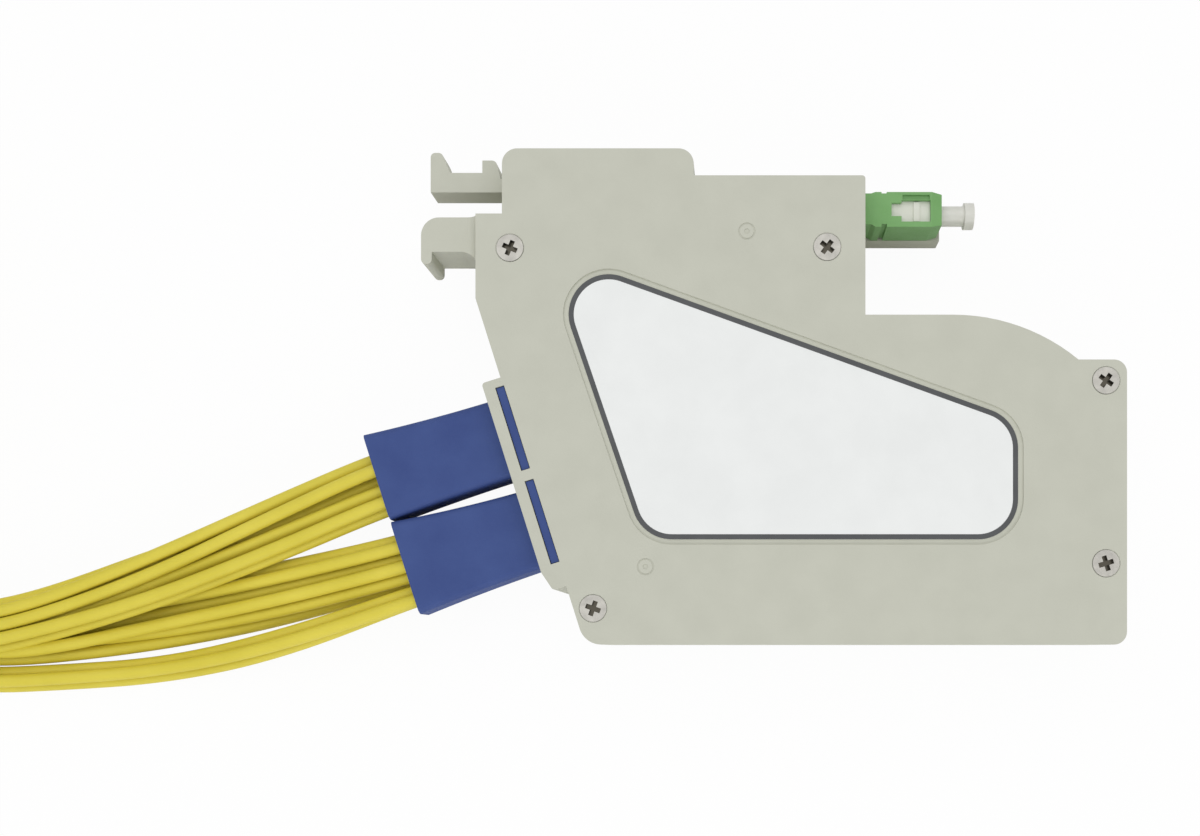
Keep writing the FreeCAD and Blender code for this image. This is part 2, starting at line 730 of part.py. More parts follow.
def boot_section(body, width, thinner, lean, out):
    """A section across the boot, at a distance out from the slanted edge."""
    half = f"(({width}) / 2 - {thinner})"
    low = (f"-{lean} - {half}", f"boot_bottom + {thinner}")
    high = (f"{half} - {lean}", f"boot_bottom + boot_thickness - {thinner}")
    return rectangle(body, low, high, out, "YZ_Plane")


def loft(kind, body, sections):
    feature = body.newObject(kind, f"{body.Name}_loft")
    feature.Profile = sections[0]
    feature.Sections = sections[1:]
    return feature


def strain_relief(label, middle, waist, mouth, lean):
    """Flared rubber sleeve with a flange that drops into the slots of the housing and the cover."""
    body = outlet_body(label, middle)
    flange_low = ("slot_out - slot_width / 2 + boot_clearance", "boot_clearance - slot_length / 2")
    flange_high = ("slot_out + slot_width / 2 - boot_clearance", "slot_length / 2 - boot_clearance")
    flange = rectangle(body, flange_low, flange_high, "slot_floor + boot_clearance")
    pad(body, flange, "casing_depth - boot_flange_set_back - slot_floor - boot_clearance")
    waist_out = "flange_step + boot_length * 0.55"
    mouth_out = "flange_step + boot_length"
    outer = [
        boot_section(body, "boot_root", "0", "0", "slot_out"),
        boot_section(body, waist, "0", f"{lean} * 0.4", waist_out),
        boot_section(body, mouth, "0", lean, mouth_out),
    ]
    sleeve = loft("PartDesign::AdditiveLoft", body, outer)
    doc.recompute()
    long_edges = []
    for count, edge in enumerate(sleeve.Shape.Edges, start=1):
        reach = edge.BoundBox
        if reach.XMax > number(mouth_out) - 0.001 and reach.XLength > number("boot_length"):
            long_edges.append(f"Edge{count}")
    fillet = body.newObject("PartDesign::Fillet", f"{label}_fillet")
    fillet.Base = (sleeve, long_edges)
    bind(fillet, "Radius", "boot_corner")
    hollow = [
        boot_section(body, "boot_root", "boot_wall", "0", "slot_out - slot_width"),
        boot_section(body, waist, "boot_wall", f"{lean} * 0.4", waist_out),
        boot_section(body, mouth, "boot_wall", lean, mouth_out),
    ]
    loft("PartDesign::SubtractiveLoft", body, hollow)
    return body


def fanout(label, middle):
    """Block where the bare fibres enter the pigtails, behind the outlet."""
    body = outlet_body(label, middle)
    low = ("-fanout_gap - fanout_length", "-fanout_width / 2")
    outline = rectangle(body, low, ("-fanout_gap", "fanout_width / 2"), "wall")
    block = pad(body, outline, "fanout_height")
    round_corners(body, block, outline, [0, 1, 2, 3], "small_radius")
    return body


upper_boot = strain_relief("upper_boot", OUTLETS[0], "upper_waist", "upper_mouth", "upper_lean")
lower_boot = strain_relief("lower_boot", OUTLETS[1], "lower_waist", "lower_mouth", "lower_lean")
upper_fanout = fanout("upper_fanout", OUTLETS[0])
lower_fanout = fanout("lower_fanout", OUTLETS[1])


# Input plug: sliding grip on a frame, with the sprung ferrule inside and a cap on its tip
PLUG_AXIS = ("plug_axis_height", "plug_axis_level")
GRIP_END = "grip_start + grip_length"


def plug_section(body, thinner, level):
    half_height, half_depth = f"(grip_height / 2 - {thinner})", f"(grip_depth / 2 - {thinner})"
    low, high = (f"-{half_height}", f"-{half_depth}"), (half_height, half_depth)
    return rectangle(body, low, high, level, "YZ_Plane")


plug_grip = new_body("plug_grip", "grip_start", *PLUG_AXIS)
taper_start = "grip_length - grip_taper_length"
grip_outline = polygon(plug_grip, [
    ("0", "grip_neck_step - grip_height / 2"),
    ("grip_neck_length - grip_slope", "grip_neck_step - grip_height / 2"),
    ("grip_neck_length", "-grip_height / 2"),
    ("grip_rib_end", "-grip_height / 2"),
    ("grip_rib_end", "grip_notch_depth - grip_height / 2"),
    ("grip_notch_end", "grip_notch_depth - grip_height / 2"),
    ("grip_notch_end", "-grip_height / 2"),
    (taper_start, "-grip_height / 2"),
    (taper_start, "grip_height / 2"),
    ("grip_notch_end", "grip_height / 2"),
    ("grip_notch_end", "grip_height / 2 - grip_step"),
    ("grip_rib_end", "grip_height / 2 - grip_step"),
    ("grip_rib_end", "grip_height / 2"),
    ("grip_neck_length", "grip_height / 2"),
    ("grip_neck_length - grip_slope", "grip_height / 2 - grip_step"),
    ("0", "grip_height / 2 - grip_step"),
], "-grip_depth / 2")
pad(plug_grip, grip_outline, "grip_depth")
taper = [plug_section(plug_grip, "0", taper_start), plug_section(plug_grip, "grip_taper", "grip_length")]
loft("PartDesign::AdditiveLoft", plug_grip, taper)
pocket(plug_grip, plug_section(plug_grip, "grip_wall", "grip_length"), "grip_length")
slot_low = ("grip_slot_start", "window_rise + grip_running_fit")
slot_high = ("grip_slot_start + grip_slot_length", "window_rise + grip_running_fit + grip_slot_height")
pocket(plug_grip, rectangle(plug_grip, slot_low, slot_high, "grip_depth / 2"), "grip_slot_depth")
WINDOW_SILL = "window_rise - window_height"
window = polygon(plug_grip, [
    ("window_start", "-window_neck_height / 2"),
    ("window_start + window_neck", "-window_neck_height / 2"),
    ("window_start + window_neck", WINDOW_SILL),
    ("window_start + window_length", WINDOW_SILL),
    ("window_start + window_length", "window_rise"),
    ("window_start + window_neck", "window_rise"),
    ("window_start + window_neck", "window_neck_height / 2"),
    ("window_start", "window_neck_height / 2"),
], "grip_depth / 2")
pocket(plug_grip, window, "grip_depth")

plug_frame = new_body("plug_frame", "frame_start", *PLUG_AXIS)
frame_length = f"{GRIP_END} - frame_set_back - frame_start"
pad(plug_frame, plug_section(plug_frame, "(grip_wall + grip_running_fit)", "0"), frame_length)
frame_bore = circles(plug_frame, [("0", "0", "frame_bore")], frame_length, "YZ_Plane")
pocket(plug_frame, frame_bore, frame_length)
ridge_low = ("frame_ridge_start", f"{WINDOW_SILL} + grip_clearance")
ridge_high = ("frame_ridge_start + frame_ridge_width", "window_rise - grip_clearance")
frame_top = "grip_depth / 2 - grip_wall - grip_running_fit"
pad(plug_frame, rectangle(plug_frame, ridge_low, ridge_high, frame_top), "frame_ridge_height")

plug_rear_body = turned_along_u("plug_rear_body", [
    ("rear_start", "0"),
    ("frame_start + rear_spigot", "0"),
    ("frame_start + rear_spigot", "frame_bore / 2 - cap_clearance"),
    ("frame_start", "frame_bore / 2 - cap_clearance"),
    ("frame_start", "rear_diameter / 2"),
    ("rear_start", "rear_diameter / 2"),
], *PLUG_AXIS)
ferrule_holder = turned_along_u("ferrule_holder", [
    ("holder_start", "ferrule_diameter / 2"),
    ("holder_start + holder_length", "ferrule_diameter / 2"),
    ("holder_start + holder_length", "holder_diameter / 2"),
    ("holder_start", "holder_diameter / 2"),
], *PLUG_AXIS)
ferrule = turned_along_u("ferrule", [
    ("holder_start", "ferrule_bore / 2"),
    ("holder_start + ferrule_length", "ferrule_bore / 2"),
    ("holder_start + ferrule_length", "ferrule_diameter / 2"),
    ("holder_start", "ferrule_diameter / 2"),
], *PLUG_AXIS)
CAP_END = "cap_start + cap_length"
dust_cap = turned_along_u("dust_cap", [
    ("cap_start", "ferrule_diameter / 2 + cap_clearance"),
    (f"{CAP_END} - cap_end", "ferrule_diameter / 2 + cap_clearance"),
    (f"{CAP_END} - cap_end", "0"),
    (CAP_END, "0"),
    (CAP_END, "cap_head / 2"),
    (f"{CAP_END} - cap_head_length", "cap_head / 2"),
    (f"{CAP_END} - cap_head_length", "cap_stem / 2"),
    ("cap_start", "cap_stem / 2"),
], *PLUG_AXIS)


# Splitter: steel case on a foam pad, with a rubber boot at each end
SPLITTER_LEVEL = "wall + splitter_pad"
SPLITTER_MIDDLE = f"{SPLITTER_LEVEL} + splitter_height / 2"
SPLITTER_END = "splitter_start + splitter_length"
splitter_low = ("splitter_start", "splitter_axis - splitter_width / 2")
splitter_high = (SPLITTER_END, "splitter_axis + splitter_width / 2")
splitter_pad = new_body("splitter_pad")
pad(splitter_pad, rectangle(splitter_pad, splitter_low, splitter_high, "wall"), "splitter_pad")
plc_splitter = new_body("plc_splitter")
case_outline = rectangle(plc_splitter, splitter_low, splitter_high, SPLITTER_LEVEL)
case = pad(plc_splitter, case_outline, "splitter_height")
round_corners(plc_splitter, case, case_outline, [0, 1, 2, 3], "small_radius")
splitter_input_boot = turned_along_u("splitter_input_boot", [
    ("splitter_start - splitter_boot_length", "0"),
    ("splitter_start", "0"),
    ("splitter_start", "splitter_boot_root / 2"),
    ("splitter_start - splitter_boot_length", "splitter_boot_tip / 2"),
], "splitter_axis", SPLITTER_MIDDLE)
splitter_output_boot = turned_along_u("splitter_output_boot", [
    (SPLITTER_END, "0"),
    (f"{SPLITTER_END} + splitter_boot_length", "0"),
    (f"{SPLITTER_END} + splitter_boot_length", "splitter_boot_tip / 2"),
    (SPLITTER_END, "splitter_boot_root / 2"),
], "splitter_axis", SPLITTER_MIDDLE)


# Spring behind the ferrule's holder: round wire wound about the plug's axis
spring_gap = number("holder_start - frame_start - rear_spigot - plug_spring_wire")
winding = Part.makeHelix(number("plug_spring_pitch"), spring_gap * 0.96, number("plug_spring_diameter / 2"))
wire_start = FreeCAD.Vector(number("plug_spring_diameter / 2"), 0, 0)
wire_section = Part.Wire([Part.makeCircle(number("plug_spring_wire / 2"), wire_start, FreeCAD.Vector(0, 1, 0))])
spring_seat = FreeCAD.Vector(number("frame_start + rear_spigot + plug_spring_wire / 2") + spring_gap * 0.02,
                             number("plug_axis_height"), number("plug_axis_level"))
along_u = FreeCAD.Rotation(UP, FreeCAD.Vector(1, 0, 0))
spring_coil = Part.Wire(winding).makePipeShell([wire_section], True, True)
shaped("ferrule_spring", spring_coil.transformed(FreeCAD.Placement(spring_seat, along_u).Matrix, copy=True))


# Fibres and pigtails: tubes along straight runs joined by arcs as large as the runs allow
ARC_SHARE = 0.45


def rounded_path(points):
    edges = []
    radii = []
    start = points[0]
    for before, corner, after in zip(points, points[1:], points[2:]):
        back, ahead = before - corner, after - corner
        half_turn = (math.pi - back.getAngle(ahead)) / 2
        reach = ARC_SHARE * min(back.Length, ahead.Length)
        radii.append(reach / math.tan(half_turn))
        back.normalize()
        ahead.normalize()
        inward = (back + ahead).normalize()
        middle = corner + inward * (radii[-1] / math.cos(half_turn) - radii[-1])
        arc_start, arc_end = corner + back * reach, corner + ahead * reach
        edges.append(Part.LineSegment(start, arc_start).toShape())
        edges.append(Part.Arc(arc_start, middle, arc_end).toShape())
        start = arc_end
    edges.append(Part.LineSegment(start, points[-1]).toShape())
    return Part.Wire(edges), radii


def tube(label, places, diameter):
    points = [FreeCAD.Vector(*place) for place in places]
    path, radii = rounded_path(points)
    section = Part.Wire([Part.makeCircle(diameter / 2, points[0], points[1] - points[0])])
    solid = path.makePipeShell([section], True, False)
    share = solid.Volume / (math.pi * diameter**2 / 4 * path.Length)
    print(f"{label}: length {path.Length:.1f}, volume share {share:.3f}, least radius {min(radii):.1f}")
    return shaped(label, solid)


def at_slant(along, out, level):
    u, v = on_slant(along, out)
    return number(u), number(v), level


def beside(point, offsets):
    """Places given by their distances from a point."""
    return [tuple(base + step for base, step in zip(point, offset)) for offset in offsets]


plug_tail = (number("rear_start"), number("plug_axis_height"), number("plug_axis_level"))
splitter_inlet = (number("splitter_start - splitter_boot_length"), number("splitter_axis"), number(SPLITTER_MIDDLE))
near_plug = [(-10.0, -0.25, -0.1), (-19.0, -3.55, -0.5), (-25.5, -11.85, -1.0), (-28.0, -24.35, -1.5)]
near_splitter = [(-13.0, 37.5, 2.95), (-13.6, 25.5, 2.15), (-13.4, 15.5, 1.35), (-12.7, 8.0, 0.75),
                 (-10.2, 2.7, 0.25), (-5.5, 0.0, 0.0)]
input_places = [plug_tail, *beside(plug_tail, near_plug), *beside(splitter_inlet, near_splitter), splitter_inlet]
tube("input_fibre", input_places, number("fibre_diameter"))

splitter_outlet = (number(f"{SPLITTER_END} + splitter_boot_length"), number("splitter_axis"), number(SPLITTER_MIDDLE))
tube_size = number("tube_diameter")
tube_shift = tube_size * 0.55
FIBRE_LEVEL = 10.0
FIBRE_REACH = 10.0
spool_foot = (number("spool_u"), number("spool_v"), 0.0)


def loose_tube(label, shift, first_run, round_spool, before_fanout, middle):
    """From the splitter once round the spool and over to a fan-out's back."""
    start = (splitter_outlet[0], splitter_outlet[1] + shift, splitter_outlet[2])
    back = "-fanout_gap - fanout_length"
    end = at_slant(middle, back, FIBRE_LEVEL)
    tube(label, [
        start, *beside(start, [(first_run, 0.0, 0.0)]), *beside(spool_foot, round_spool), *beside(end, before_fanout),
        at_slant(middle, f"{back} - {FIBRE_REACH}", FIBRE_LEVEL), end,
    ], tube_size)


outer_round = [(14.5, -12.5, 5.5), (19.0, -5.5, 6.2), (18.8, 4.5, 7.2), (13.5, 13.3, 8.2), (3.5, 18.5, 9.0),
               (-11.0, 21.7, 9.6), (-27.0, 23.4, 9.9)]
inner_round = [(11.0, -11.7, 5.5), (15.2, -6.0, 6.2), (15.4, 2.0, 7.2), (11.4, 9.1, 8.2), (2.5, 13.4, 9.0),
               (-11.5, 15.3, 9.6), (-27.5, 15.1, 9.9)]
loose_tube("upper_fibre_tube", -tube_shift, 6.0, outer_round, [(40.9, 7.0, 0.0), (24.9, 6.3, 0.0)], OUTLETS[0])
loose_tube("lower_fibre_tube", tube_shift, 5.0, inner_round, [(34.9, 14.3, 0.0), (20.9, 8.8, 0.0)], OUTLETS[1])

# Each pigtail: its place across the boot's mouth and its level there, then v and z at each station along -u
CORD_STATIONS = (-45.0, -72.0, -98.0)
UPPER_CORDS = [
    (-3.2, 8.6, (28.6, 7.8), (19.4, 7.0), (10.6, 4.2)),
    (-4.7, 11.4, (30.3, 10.6), (18.4, 10.2), (8.9, 6.9)),
    (-2.45, 13.4, (27.25, 11.9), (14.8, 9.9), (5.95, 6.9)),
    (0.05, 9.6, (24.7, 7.9), (16.0, 7.2), (7.45, 4.2)),
    (2.2, 11.7, (22.6, 10.1), (11.95, 7.9), (4.45, 4.2)),
    (4.75, 13.4, (20.05, 11.9), (9.7, 10.4), (2.95, 6.9)),
    (6.0, 10.7, (18.9, 9.3), (8.89, 7.62), (1.45, 4.2)),
]
LOWER_CORDS = [
    (-6.5, 10.8, (16.6, 6.5), (12.4, 1.6), (9.0, 1.5)),
    (-4.85, 13.4, (14.3, 8.8), (9.4, 3.7), (6.0, 1.5)),
    (-2.65, 11.1, (11.9, 6.6), (6.6, 1.6), (3.0, 1.5)),
    (-0.61, 13.41, (9.6, 9.0), (4.4, 4.8), (-1.55, 4.2)),
    (1.51, 11.29, (7.25, 6.6), (2.71, 1.45), (0.0, 1.5)),
    (2.1, 8.5, (5.2, 3.6), (-0.36, 1.45), (-2.95, 1.5)),
    (4.65, 11.3, (1.8, 6.9), (-4.1, 1.5), (-5.85, 1.5)),
    (6.62, 13.53, (-0.3, 9.1), (-5.6, 4.0), (-7.6, 4.2)),
    (6.01, 8.47, (-1.65, 6.1), (-7.1, 1.5), (-8.75, 1.5)),
]
ROOT_SHARE, WAIST_SHARE = 0.94, 0.985
mouth_out = number("flange_step + boot_length")
fanout_face = -number("fanout_gap")


def pigtail(label, middle, across, level, stations):
    """From the fan-out's face through the boot, and on past each station to the coil's lead."""
    centre = number(middle)
    lead_v, lead_z = stations[-1]
    places = [
        at_slant(f"{centre + across * ROOT_SHARE}", f"{fanout_face}", level),
        at_slant(f"{centre + across * WAIST_SHARE}", f"{(fanout_face + mouth_out) / 2}", level),
        at_slant(f"{centre + across}", f"{mouth_out}", level),
        *[(u, v, z) for u, (v, z) in zip(CORD_STATIONS, stations)],
        (number("lead_end"), lead_v, lead_z),
    ]
    tube(label, places, number("cord_diameter"))


for count, (across, level, *stations) in enumerate(UPPER_CORDS, start=1):
    pigtail(f"upper_cord_{count}", OUTLETS[0], across, level, stations)
for count, (across, level, *stations) in enumerate(LOWER_CORDS, start=1):
    pigtail(f"lower_cord_{count}", OUTLETS[1], across, level, stations)


# Coil of the pigtails' unseen length, with the gathered lead into it, on the same surface as the casing
cord_coil = new_body("cord_coil")
COIL_CENTRE = ("coil_centre_u", "coil_centre_v")
coil_rings = circles(cord_coil, [(*COIL_CENTRE, "coil_outer"), (*COIL_CENTRE, "coil_inner")], "coil_lift")
pad(cord_coil, coil_rings, "coil_thickness")
COIL_TOP = "coil_lift + coil_thickness"
coil_edge = "coil_centre_v - coil_outer / 2"
lead_low = ("lead_middle - lead_width / 2", "0")
lead_face = rectangle(cord_coil, lead_low, ("lead_middle + lead_width / 2", "lead_thickness"), "lead_end", "YZ_Plane")
lead_root = rectangle(cord_coil, (coil_edge, "coil_lift"), (f"{coil_edge} + lead_root", COIL_TOP),
                      "coil_centre_u", "YZ_Plane")
loft("PartDesign::AdditiveLoft", cord_coil, [lead_face, lead_root])

# Straps round the coil, clear of its lead and of the connectors' cords
TIE_TURNS = (25, 110, 230)
coil_axis = FreeCAD.Vector(number("coil_centre_u"), number("coil_centre_v"), 0)


def band(grow):
    """A straight block round the coil's section, grown beyond it on every side."""
    near, far = number("coil_inner / 2") - grow, number("coil_outer / 2") + grow
    low, high = number("coil_lift") - grow, number(COIL_TOP) + grow
    width = number("tie_width")
    return Part.makeBox(far - near, width, high - low, FreeCAD.Vector(near, -width / 2, low))


strap = band(number("tie_clearance + tie_thickness")).cut(band(number("tie_clearance")))
straps = [strap.transformed(FreeCAD.Placement(coil_axis, FreeCAD.Rotation(UP, turn)).Matrix) for turn in TIE_TURNS]
shaped("coil_ties", Part.Compound(straps))

# Connectors on the pigtails' ends, in two layers inside the coil: the upper rows' boots point along -u, the lower
# rows' along u, so that each pigtail leaves the coil without a sharp turn
CONNECTOR_ROWS, CONNECTOR_LAYERS = 8, 2
connector = new_body("connector_pattern")
half_width, half_height = "connector_width / 2", "connector_height / 2"
sleeve_section = rectangle(connector, (f"-{half_width}", f"-{half_height}"), (half_width, half_height), "0", "YZ_Plane")
sleeve_block = pad(connector, sleeve_section, "connector_length")
doc.recompute()
sleeve_front = [f"Face{count}" for count, face in enumerate(sleeve_block.Shape.Faces, start=1)
                if face.BoundBox.XMin > number("connector_length") - 0.001]
sleeve_chamfer = connector.newObject("PartDesign::Chamfer", "sleeve_chamfer")
sleeve_chamfer.Base = (sleeve_block, sleeve_front)
bind(sleeve_chamfer, "Size", "connector_chamfer")
sleeve_window_low = ("connector_length - window_length - frame_set_back", "-window_height / 2")
sleeve_window_high = ("connector_length - 2 * frame_set_back", "window_height / 2")
pocket(connector, rectangle(connector, sleeve_window_low, sleeve_window_high, half_height), "grip_wall")
sleeve_shape = pattern_shape(connector)
ALONG = FreeCAD.Vector(1, 0, 0)
boot_length, cap_length = number("connector_boot_length"), number("connector_cap_length")
sleeve_length = number("connector_length")
boot_shape = Part.makeCone(number("connector_boot_tip / 2"), number("connector_boot_root / 2"), boot_length,
                           ALONG * -boot_length, ALONG)
cap_shape = Part.makeCylinder(number("connector_cap / 2"), cap_length, ALONG * sleeve_length, ALONG)
tail_radius = number("cord_diameter / 2")
sleeves, boots, caps, tails = [], [], [], []
row_pitch = number("connector_width + connector_gap")
layer_pitch = number("connector_height + connector_gap")
sleeve_start = (boot_length - sleeve_length - cap_length) / 2
for layer in range(CONNECTOR_LAYERS):
    for row in range(CONNECTOR_ROWS):
        aside = (row - (CONNECTOR_ROWS - 1) / 2) * row_pitch
        level = number(f"{half_height} + coil_lift") + layer * layer_pitch
        turn = FreeCAD.Rotation(UP, 180 if aside < 0 else 0)
        seat = coil_axis + turn.multVec(ALONG * sleeve_start) + FreeCAD.Vector(0, aside, level)
        set_down = FreeCAD.Placement(seat, turn).Matrix
        sleeves.append(sleeve_shape.transformed(set_down))
        boots.append(boot_shape.transformed(set_down))
        caps.append(cap_shape.transformed(set_down))
        coil_wall = math.sqrt(number("coil_inner / 2")**2 - aside**2)
        tail_length = coil_wall + sleeve_start - boot_length + tail_radius
        tail = Part.makeCylinder(tail_radius, tail_length, ALONG * -(boot_length + tail_length), ALONG)
        tails.append(tail.transformed(set_down))
shaped("output_plugs", Part.Compound(sleeves))
shaped("output_plug_boots", Part.Compound(boots))
shaped("output_dust_caps", Part.Compound(caps))
shaped("cord_tails", Part.Compound(tails))


# Every object has to be up to date, every cut has to remove material, and every piece has to be a valid solid
doc.recompute()
faults = [thing.Label for thing in doc.Objects if {"Invalid", "Error"} & set(thing.State)]
for thing in doc.Objects:
    if thing.TypeId == "PartDesign::Pocket" and thing.Shape.Volume > thing.BaseFeature.Shape.Volume - 0.001:
        faults.append(f"{thing.Label} cuts nothing")
faults += [piece.Label for piece in pieces if piece.Shape.isNull() or not piece.Shape.isValid()]
if faults:
    raise ValueError(f"failed: {faults}")
os.makedirs("parts", exist_ok=True)
for piece in pieces:
    piece.Shape.exportStep(f"parts/{piece.Label}.step")
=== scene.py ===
import math
import bmesh
import bpy
from mathutils import Matrix, Vector


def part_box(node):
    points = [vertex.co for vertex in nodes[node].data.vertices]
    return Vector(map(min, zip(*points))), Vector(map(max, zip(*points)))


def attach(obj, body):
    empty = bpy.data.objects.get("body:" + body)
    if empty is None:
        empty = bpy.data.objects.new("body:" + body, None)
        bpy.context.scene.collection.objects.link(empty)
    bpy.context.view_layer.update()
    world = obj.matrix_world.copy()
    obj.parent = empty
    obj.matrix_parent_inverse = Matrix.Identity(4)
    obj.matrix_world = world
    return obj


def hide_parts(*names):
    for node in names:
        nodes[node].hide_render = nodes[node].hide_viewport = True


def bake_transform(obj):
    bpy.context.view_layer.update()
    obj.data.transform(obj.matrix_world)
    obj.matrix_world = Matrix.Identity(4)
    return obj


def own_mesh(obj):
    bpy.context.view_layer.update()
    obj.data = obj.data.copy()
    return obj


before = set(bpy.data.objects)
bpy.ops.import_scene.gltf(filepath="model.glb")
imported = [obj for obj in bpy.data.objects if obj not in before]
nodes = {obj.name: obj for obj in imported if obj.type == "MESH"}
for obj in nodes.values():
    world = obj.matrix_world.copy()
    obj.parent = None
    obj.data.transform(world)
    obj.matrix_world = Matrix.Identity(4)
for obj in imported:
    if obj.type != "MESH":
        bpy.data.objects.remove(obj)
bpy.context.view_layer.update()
MM = 0.001


# Camera: looking straight down on the cover, with the frame shifted up and to the left of its axis.
# It is near enough for the raised parts to lean out, while the lower and right hand walls stay hidden.
camera = bpy.data.objects.new("camera", bpy.data.cameras.new("camera"))
bpy.context.scene.collection.objects.link(camera)
bpy.context.scene.camera = camera
camera.location = (-0.01242, -0.05167, 0.287)
camera.data.sensor_width = 36
camera.data.lens = 38.95
camera.data.shift_x = -0.117
camera.data.shift_y = 0.193
camera.data.clip_start = 0.01


# Table and studio: the module lies on white card under a wide softbox overhead, with white walls all round.
# A weak lamp lifts the faces turned to the viewer.
# The card is seen as white and keeps a soft part of the shadow.
def add(tree, kind, inputs=None, **settings):
    """A shader node with its settings, and with its inputs set or linked."""
    node = tree.nodes.new(kind)
    for name, value in settings.items():
        setattr(node, name, value)
    for name, value in (inputs or {}).items():
        if isinstance(value, bpy.types.NodeSocket):
            tree.links.new(value, node.inputs[name])
        else:
            node.inputs[name].default_value = value
    return node


def linear(code):
    """An sRGB hex colour as the linear values that shaders take."""
    channels = [int(code[start:start + 2], 16) / 255 for start in (1, 3, 5)]
    return [c / 12.92 if c <= 0.04045 else ((c + 0.055) / 1.055)**2.4 for c in channels] + [1.0]


bpy.context.scene.view_settings.view_transform = "Standard"
world = bpy.data.worlds.new("studio")
bpy.context.scene.world = world
world.use_nodes = True
sky = world.node_tree
rays = add(sky, "ShaderNodeLightPath")
seen = rays.outputs["Is Camera Ray"]
mirrored = rays.outputs["Is Glossy Ray"]
through = rays.outputs["Is Transmission Ray"]
direct = add(sky, "ShaderNodeMath", {0: seen, 1: mirrored}, operation="MAXIMUM")
shown = add(sky, "ShaderNodeMath", {0: direct.outputs[0], 1: through}, operation="MAXIMUM")
level = add(sky, "ShaderNodeMapRange", {"Value": shown.outputs[0], "To Min": 0.5, "To Max": 1.0})
sky.links.new(level.outputs[0], sky.nodes["Background"].inputs["Strength"])
sky.nodes["Background"].inputs["Color"].default_value = (1.0, 1.0, 1.0, 1.0)

LAMPS = {
    "softbox": ((-0.2, 0.75, 1.6), 2.4, 16.2),
    "fill": ((0.1, -0.9, 0.5), 0.8, 3.6),
}
AIM = Vector((-0.03, 0.0, 0.0))
for name, (place, size, power) in LAMPS.items():
    lamp = bpy.data.objects.new(name, bpy.data.lights.new(name, "AREA"))
    bpy.context.scene.collection.objects.link(lamp)
    lamp.location = place
    lamp.rotation_euler = (AIM - lamp.location).to_track_quat("-Z", "Y").to_euler()
    lamp.data.size = size
    lamp.data.energy = power

card = bpy.data.materials.new("white_card")
card.use_nodes = True
tree = card.node_tree
rays = add(tree, "ShaderNodeLightPath")
veil = add(tree, "ShaderNodeMapRange", {"Value": rays.outputs["Is Camera Ray"], "To Max": 0.95})
fibres = add(tree, "ShaderNodeTexNoise", {"Scale": 900.0, "Detail": 4.0})
tone = add(tree, "ShaderNodeValToRGB", {"Fac": fibres.outputs["Fac"]})
tone.color_ramp.elements[0].color = linear("#f3f3f2")
tone.color_ramp.elements[1].color = linear("#f8f8f7")
matt = add(tree, "ShaderNodeBsdfDiffuse", {"Color": tone.outputs["Color"]})
white = add(tree, "ShaderNodeEmission", {"Strength": 1.0})
both = add(tree, "ShaderNodeMixShader", {0: veil.outputs[0], 1: matt.outputs[0], 2: white.outputs[0]})
tree.links.new(both.outputs[0], tree.nodes["Material Output"].inputs["Surface"])
table = bmesh.new()
bmesh.ops.create_grid(table, x_segments=8, y_segments=8, size=4.0)
floor_mesh = bpy.data.meshes.new("floor")
table.to_mesh(floor_mesh)
floor = bpy.data.objects.new("floor", floor_mesh)
floor.location.z = -0.0002
floor.data.materials.append(card)
bpy.context.scene.collection.objects.link(floor)


# Housing: the tray behind the cover, with the screw bosses, the outlet flange and the tongue under the plug.
# It is one moulding in beige-grey ABS, and the spark-eroded mould leaves it a fine matt grain.
def surface(name, dark, light, patch, grain, depth, rough, stretch=(1.0, 1.0, 1.0), **sockets):
    """Moulded, drawn or ground stuff: two close colours in patches, and a grain in its height and gloss."""
    material = bpy.data.materials.new(name)
    material.use_nodes = True
    tree = material.node_tree
    shader = tree.nodes["Principled BSDF"]
    place = add(tree, "ShaderNodeTexCoord").outputs["Object"]
    drawn = add(tree, "ShaderNodeMapping", {"Vector": place, "Scale": stretch}).outputs["Vector"]
    cloud = add(tree, "ShaderNodeTexNoise", {"Vector": drawn, "Scale": 1 / (patch * MM), "Detail": 4.0})
    tone = add(tree, "ShaderNodeValToRGB", {"Fac": cloud.outputs["Fac"]})
    low, high = tone.color_ramp.elements
    low.position, high.position = 0.32, 0.68
    low.color, high.color = linear(dark), linear(light)
    noise = add(tree, "ShaderNodeTexNoise", {"Vector": drawn, "Scale": 1 / (grain * MM), "Detail": 2.0})
    specks = noise.outputs["Fac"]
    gloss = add(tree, "ShaderNodeMapRange", {"Value": specks, "From Min": 0.3, "From Max": 0.7,
                                             "To Min": rough - 0.06, "To Max": rough + 0.06})
    relief = add(tree, "ShaderNodeBump", {"Height": specks, "Distance": depth * MM, "Strength": 1.0})
    tree.links.new(tone.outputs["Color"], shader.inputs["Base Color"])
    tree.links.new(gloss.outputs["Result"], shader.inputs["Roughness"])
    tree.links.new(relief.outputs["Normal"], shader.inputs["Normal"])
    for socket, value in sockets.items():
        shader.inputs[socket.replace("_", " ")].default_value = value
    return material


def finish(material, *names):
    """Gives solids of the frame their finish."""
    for name in names:
        nodes[name].material_slots[0].material = material


grey_abs = surface("beige_grey_abs", "#c1c2b4", "#c5c6b8", 7, 0.4, 0.02, 0.56, IOR=1.53)
finish(grey_abs, "housing")


